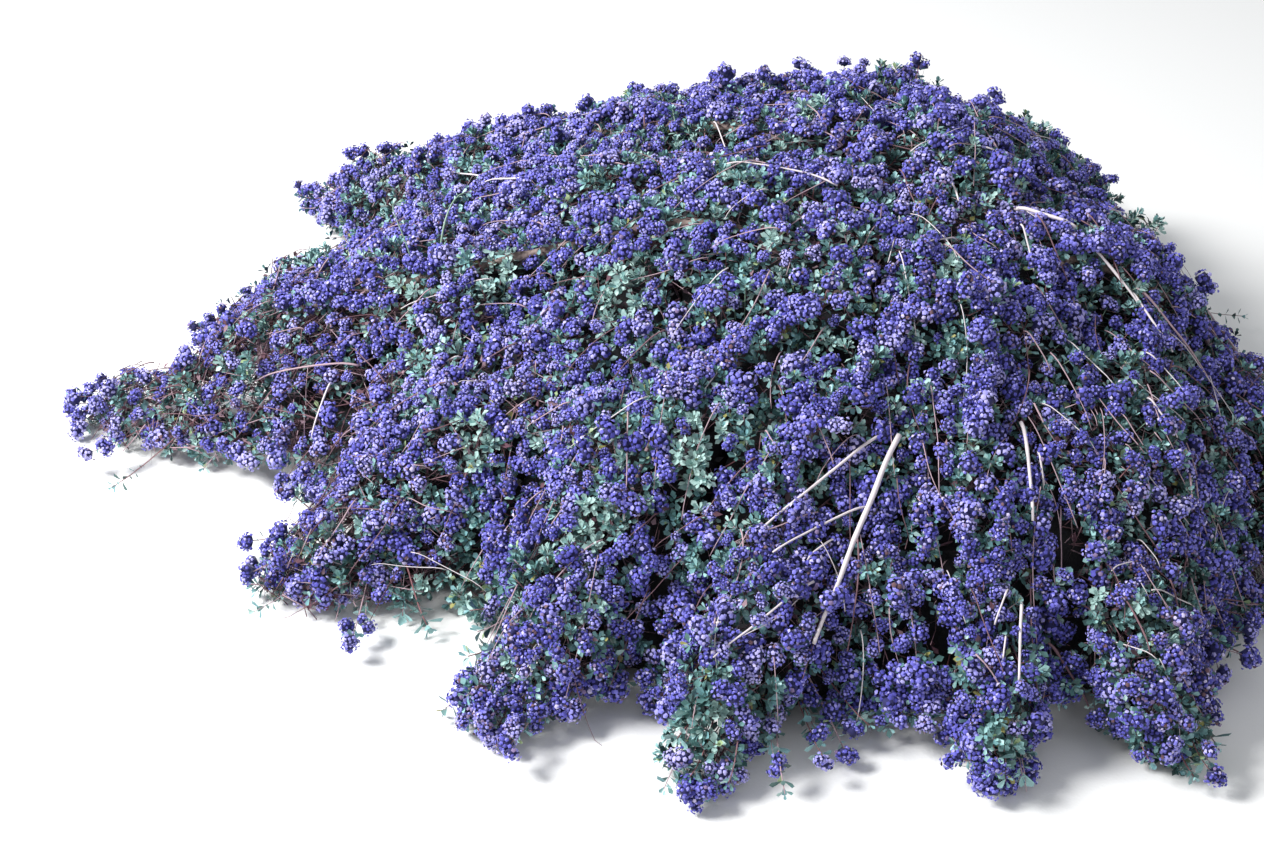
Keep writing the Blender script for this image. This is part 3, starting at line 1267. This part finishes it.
# A second and third head sit just behind the first on most of them.
for back in (0.020, 0.036):
    some = rows[dice.random(len(rows)) < 0.6]
    span = np.linalg.norm(SPRIGS[3, some] - SPRIGS[0, some], axis=1)
    spots, headings = along_shoot(SPRIGS[:, some], 1 - back / span)
    off = unit(np.cross(headings, dice.normal(0, 1, spots.shape))) * 0.012
    off[:, 2] = np.abs(off[:, 2])
    spots[:, 2] = np.maximum(spots[:, 2], 0.008)
    grow_umbels(spots + off, unit(off), UMBEL * dice.uniform(0.7, 0.95, len(some)), sprig_sides[some])


# Long stems that lie along the top of the mat, in millimetres: start, middle and end in plan, and the radius
# at each end.
STEMS = (
    (-112, -228, -165, -326, -218, -425, 3.4, 2.2, "twig_pale"),
    (-130, -223, -206, -283, -276, -338, 1.8, 1.1, "twig_pale"),
    (-149, -288, -205, -322, -263, -360, 1.5, 1.0, "twig_pale"),
    (-187, -326, -206, -340, -224, -355, 1.2, 0.9, "twig_pale"),
    (-218, -374, -272, -414, -331, -455, 1.4, 0.9, "twig_pale"),
    (-322, -417, -351, -402, -380, -387, 1.2, 0.7, "twig_pale"),
    (-212, -223, -202, -244, -191, -265, 0.8, 0.6, "twig_pink"),
    (-165, -336, -167, -371, -178, -411, 1.0, 0.7, "twig_brown"),
    (30, -213, 34, -262, 32, -325, 2.3, 1.6, "twig_pale"),
    (47, -245, 50, -262, 53, -279, 1.4, 1.0, "twig_pale"),
    (16, -386, 9, -425, 2, -471, 1.8, 1.3, "twig_pale"),
    (0, -381, -8, -396, -16, -411, 1.1, 0.9, "twig_pale"),
    (-5, -421, -9, -436, -13, -450, 1.1, 0.9, "twig_pale"),
    (60, 71, 92, 51, 127, 33, 2.6, 2.1, "twig_pale"),
    (130, 33, 172, 8, 212, -27, 1.9, 1.4, "twig_pale"),
    (196, -6, 216, -34, 240, -75, 1.4, 0.9, "twig_pale"),
    (204, -8, 252, -30, 300, -60, 1.6, 0.9, "twig_pink"),
    (59, 28, 65, 6, 71, -16, 1.2, 0.9, "twig_pale"),
    (190, -165, 205, -182, 222, -200, 1.2, 0.8, "twig_pale"),
    (235, -215, 235, -238, 233, -260, 1.2, 0.9, "twig_pink"),
    (52, -395, 74, -414, 97, -436, 1.7, 1.2, "twig_brown"),
    (126, -386, 139, -414, 151, -443, 1.2, 0.9, "twig_brown"),
    (161, -378, 203, -350, 246, -322, 0.8, 0.6, "twig_pale"),
    (120, -358, 140, -348, 160, -339, 0.8, 0.6, "twig_pale"),
    (-720, 590, -640, 455, -550, 300, 1.0, 1.5, "twig_pale"),
    (-300, 135, -236, 121, -163, 90, 0.9, 1.3, "twig_pale"),
    (-310, 308, -302, 262, -294, 217, 1.0, 0.8, "twig_pale"),
    (-27, 130, -20, 100, -14, 64, 1.5, 1.0, "twig_pale"),
    (40, 283, 22, 185, 8, 93, 0.7, 0.5, "twig_pink"),
    (-21, 18, -44, -11, -67, -40, 1.0, 0.7, "twig_pale"),
    (-935, 108, -860, 98, -785, 90, 0.9, 1.5, "twig_pink"),
    (-850, 36, -837, 60, -825, 82, 1.0, 1.4, "twig_pale"),
)


STEM_BURY = 0.006  # how deep a stem's ends lie under its middle
LONG_STEM = 0.15  # past this a stem bends with the mound


def lay_stems(starts, middles, ends, base, tip, rise, tones, rings, sides):
    """Adds stems that come up out of the mat, lie straight along it and sink back into it."""
    share = np.linspace(0, 1, rings)
    steps = share[None, :, None]
    bend = 2 * middles - (starts + ends) / 2
    flat = (1 - steps) ** 2 * starts[:, None] + 2 * (1 - steps) * steps * bend[:, None]
    flat = flat + steps**2 * ends[:, None]
    buried = np.clip(1 - share / 0.22, 0, 1) ** 2 + 0.8 * ramp(share, 0.78, 0.22) ** 2
    over = np.concatenate((flat, height(flat)[..., None]), axis=-1)
    swell = lumps(over.reshape(-1, 3)) + HOLLOW_FILL * hollow(flat.reshape(-1, 2))
    level = over[..., 2] + swell.reshape(flat.shape[:2])
    degrees = np.where(np.linalg.norm(ends - starts, axis=1) > LONG_STEM, 2, 1)
    level = np.array([np.polyval(np.polyfit(share, row, n), share) for row, n in zip(level, degrees)])
    level = level + rise[:, None] - STEM_BURY * buried[None]
    routes = np.concatenate((flat, np.maximum(level, 0.006)[..., None]), axis=-1)
    routes = routes + wobble(routes, 0.070, (121.0, 131.0, 141.0)) * 0.0024
    thick = base[:, None] * (1 - share) + tip[:, None] * share
    knots = np.clip(wave(routes.reshape(-1, 3), 0.011, 111.0).reshape(thick.shape), 0, 1)
    thick = thick * (1 + 0.40 * knots)
    by_side(tubes, twig_piles, SIDE_OF[mass_of(middles)], routes, thick, tones, sides=sides)


table = np.array([row[:8] for row in STEMS]) / 1000
starts, middles, ends = (table[:, i : i + 2] for i in (0, 2, 4))
stem_rise = np.where(table[:, 6] > 0.0022, 0.004, -0.001)  # the thickest lie highest
stem_tones = np.array([TWIG_NO[row[8]] for row in STEMS])
lay_stems(starts, middles, ends, table[:, 6], table[:, 7], stem_rise, stem_tones, rings=20, sides=8)

# Thinner ones all over the mat, running out from the summit, and close-set dead ones on the left tail.
strays, _ = dealt(STRAY_SPOTS)
on_tail = strays[:, 0] < -0.70
kept = thinned(strays, np.where((strays[:, 0] > 0.06) | on_tail, 0.028, 0.044))
kept = kept[strays[kept, 2] > np.where(on_tail[kept], 0.03, 0.07)][:560]
strays, on_tail = strays[kept, :2], on_tail[kept]
run = dice.uniform(0.04, 0.12, len(strays))[:, None]
fan = unit(outward(strays) + dice.normal(0, 0.42, strays.shape))
bowed = np.column_stack((-fan[:, 1], fan[:, 0])) * run * dice.normal(0, 0.07, (len(strays), 1))
stray_tones = mixed(TWIG_NO, len(strays), twig_pale=0.16, twig_pink=0.48, twig_brown=0.36)
dead_tones = mixed(TWIG_NO, len(strays), twig_pink=0.25, twig_brown=0.40, twig_dead=0.35)
lay_stems(
    strays - fan * run / 2, strays + bowed, strays + fan * run / 2,
    dice.uniform(0.0005, 0.0011, len(strays)), dice.uniform(0.0003, 0.0006, len(strays)),
    dice.uniform(-0.010, 0.003, len(strays)) + 0.003 * on_tail,
    np.where(on_tail, dead_tones, stray_tones), rings=12, sides=5,
)

# Two pale shoots that arch up out of the mat.
for start, end in (((-0.676, 0.151), (-0.640, 0.215)), ((-0.711, 0.162), (-0.735, 0.215))):
    root, crest = on_mat(np.array([start]), 0.035), on_mat(np.array([end]), -0.055)
    arch = np.stack((root, root + np.array((0, 0, 0.07)), crest - np.array((0.02, 0.01, -0.012)), crest))
    side = SIDE_OF[mass_of(np.array([start]))]
    grow_twigs(arch, side, np.array([TWIG_NO["shoot_green"]]), base=0.0016, tip=0.0008, steps=12)
    grow_leaves(arch, side, PAIRS_ARCH, freshness=1.0)


# The shaded inside of each mass: its core of packed dead twig and leaf mould, sunk below the living shoots,
# and what is caught between them.
HEART_DEPTH = 0.060
HEART_INSET = 0.062


def thatch_core(i):
    """The heart of one mass, drawn in until the mat covers it on all its sides."""
    shape = core_shape(MIDDLES[i], WALLS[i], sides=32, rings=14, depth=HEART_DEPTH, inset=HEART_INSET)
    bmesh.ops.triangulate(shape, faces=shape.faces)
    shape.normal_update()
    flat = np.array([vertex.co[:2] for vertex in shape.verts])
    for _ in range(24):
        ring = [height(flat + plan(azimuth, 0.050)) for azimuth in range(0, 360, 30)]
        lowest = np.min(ring, axis=0) - 0.030
        flat = np.where(lowest[:, None] < 0.014, flat + (MIDDLES[i] - flat) * 0.07, flat)
    for vertex, place in zip(shape.verts, flat):
        vertex.co[:2] = place
    shape.normal_update()
    for vertex, most in zip(shape.verts, lowest):
        rough = noise.noise(vertex.co / 0.020) + 0.5 * noise.noise(vertex.co / 0.008)
        vertex.co += vertex.normal * 0.007 * rough
        vertex.co.z = max(min(vertex.co.z, most), 0.004 + 0.001 * rough)
    points = np.array([vertex.co for vertex in shape.verts])
    shape.verts.index_update()
    # Triangulating leaves the faces in no fixed order, so they are put into one.
    corners = ([vertex.index for vertex in face.verts] for face in shape.faces)
    faces = sorted(min((a, b, c), (b, c, a), (c, a, b)) for a, b, c in corners)
    shape.free()
    return points, np.array(faces)


for i in range(len(MASSES)):
    points, faces = thatch_core(i)
    litter_piles[SIDE_OF[i]].add(points[None], LITTER_NO["litter_dark"], faces)


def strew(count, depths, share):
    """Adds dead twigs and shed leaves between the shoots at some depths, more where the mat is bare."""
    points, normals = dealt(count)
    bare = bareness(points)
    fill = HOLLOW_FILL * hollow(points[:, :2])
    points = points + normals * (lumps(points) - dice.uniform(*depths, count) + bare * 0.012)[:, None]
    points[:, 2] += fill
    kept = (dice.random(count) < share + bare) & (points[:, 2] > 0.012)
    points, normals = points[kept], normals[kept]
    count = len(points)
    fan = np.column_stack((outward(points) * 0.9, np.zeros(count)))
    ways = unit(np.cross(normals, dice.normal(0, 1, (count, 3))) + fan)
    ways = unit(ways + dice.normal(0, 0.25, (count, 3)))
    kind = dice.choice(3, count, p=(0.08, 0.52, 0.40))  # bent twigs, straight twigs and leaves
    half = dice.uniform(0.010, 0.034, count)[:, None]
    bend = dice.normal(0, 0.12, (count, 3)) * half
    routes = np.stack((points - ways * half, points + bend, points + ways * half), axis=1)
    routes[..., 2] = np.maximum(routes[..., 2], 0.004)
    thick = dice.uniform(0.0005, 0.0012, count)
    tapers = thick[:, None] * np.array((1.0, 0.9, 0.6))
    twig_tones = mixed(TWIG_NO, count, twig_dead=0.30, twig_brown=0.36, twig_pink=0.34)
    leaf_tones = mixed(
        LITTER_NO, count, litter_dark=0.20, litter_brown=0.36, litter_maroon=0.30, litter_tan=0.14
    )
    lengths, curls = dice.uniform(0.007, 0.013, count), dice.uniform(-0.5, 0.9, count)
    sides = SIDE_OF[mass_of(points[:, :2])]
    for side, (twigs, litter) in enumerate(zip(twig_piles, litter_piles)):
        bent, straight, leaf = ((sides == side) & (kind == number) for number in range(3))
        tubes(twigs, routes[bent], tapers[bent], twig_tones[bent])
        spikes(twigs, routes[straight, 0], routes[straight, 2], thick[straight], twig_tones[straight])
        faces_up = normals[leaf] + dice.normal(0, 0.4, (leaf.sum(), 3))
        shed = (points[leaf], ways[leaf], faces_up, lengths[leaf], curls[leaf], leaf_tones[leaf])
        blades(litter, *shed, covered=True)


strew(20000, (0.012, 0.034), 0.30)
strew(22000, (0.032, 0.058), 0.65)

for side, (name, members) in enumerate(SIDES.items()):
    for kind, piles, finishes in (
        ("blossom", blossom_piles, BLOSSOM_FINISHES), ("leaves", leaf_piles, LEAF_FINISHES),
        ("twigs", twig_piles, TWIG_FINISHES), ("thatch", litter_piles, LITTER_FINISHES),
    ):
        piles[side].piece(f"{kind}_{name}", finishes, [f"mass_{member}" for member in members], "foliage")


# The studio: a pale floor, one broad soft light from the upper left, and a weaker one from the right.


def add_floor():
    shape = bmesh.new()
    bmesh.ops.create_circle(shape, cap_ends=True, segments=96, radius=14)
    mesh = bpy.data.meshes.new("floor")
    shape.to_mesh(mesh)
    shape.free()
    # Matt painted studio floor, a shade off white.
    mesh.materials.append(grained(finish("studio_floor", "#f4f4f2", 0.95), 0.004, 0.0002))
    placed("floor", mesh)


LIT = Vector((-0.3, 0.2, 0.2))  # what both lights point at


def add_light(name, place, size, power):
    """A round soft light, size metres across and of so many watts."""
    data = bpy.data.lights.new(name, "AREA")
    data.shape, data.size, data.energy = "DISK", size, power
    light = placed(name, data)
    light.location = place
    light.rotation_euler = (LIT - Vector(place)).to_track_quat("-Z", "Y").to_euler()


add_floor()
add_light("key", (-3.3, -0.4, 2.9), 1.5, 290)
add_light("fill", (3.2, -2.6, 2.4), 2.5, 15)
world = bpy.data.worlds.new("studio")
world.use_nodes = True
sky = world.node_tree.nodes["Background"].inputs
sky["Color"].default_value, sky["Strength"].default_value = linear("#eef1f6"), 0.55
bpy.context.scene.world = world
bpy.context.scene.view_settings.view_transform = "Standard"
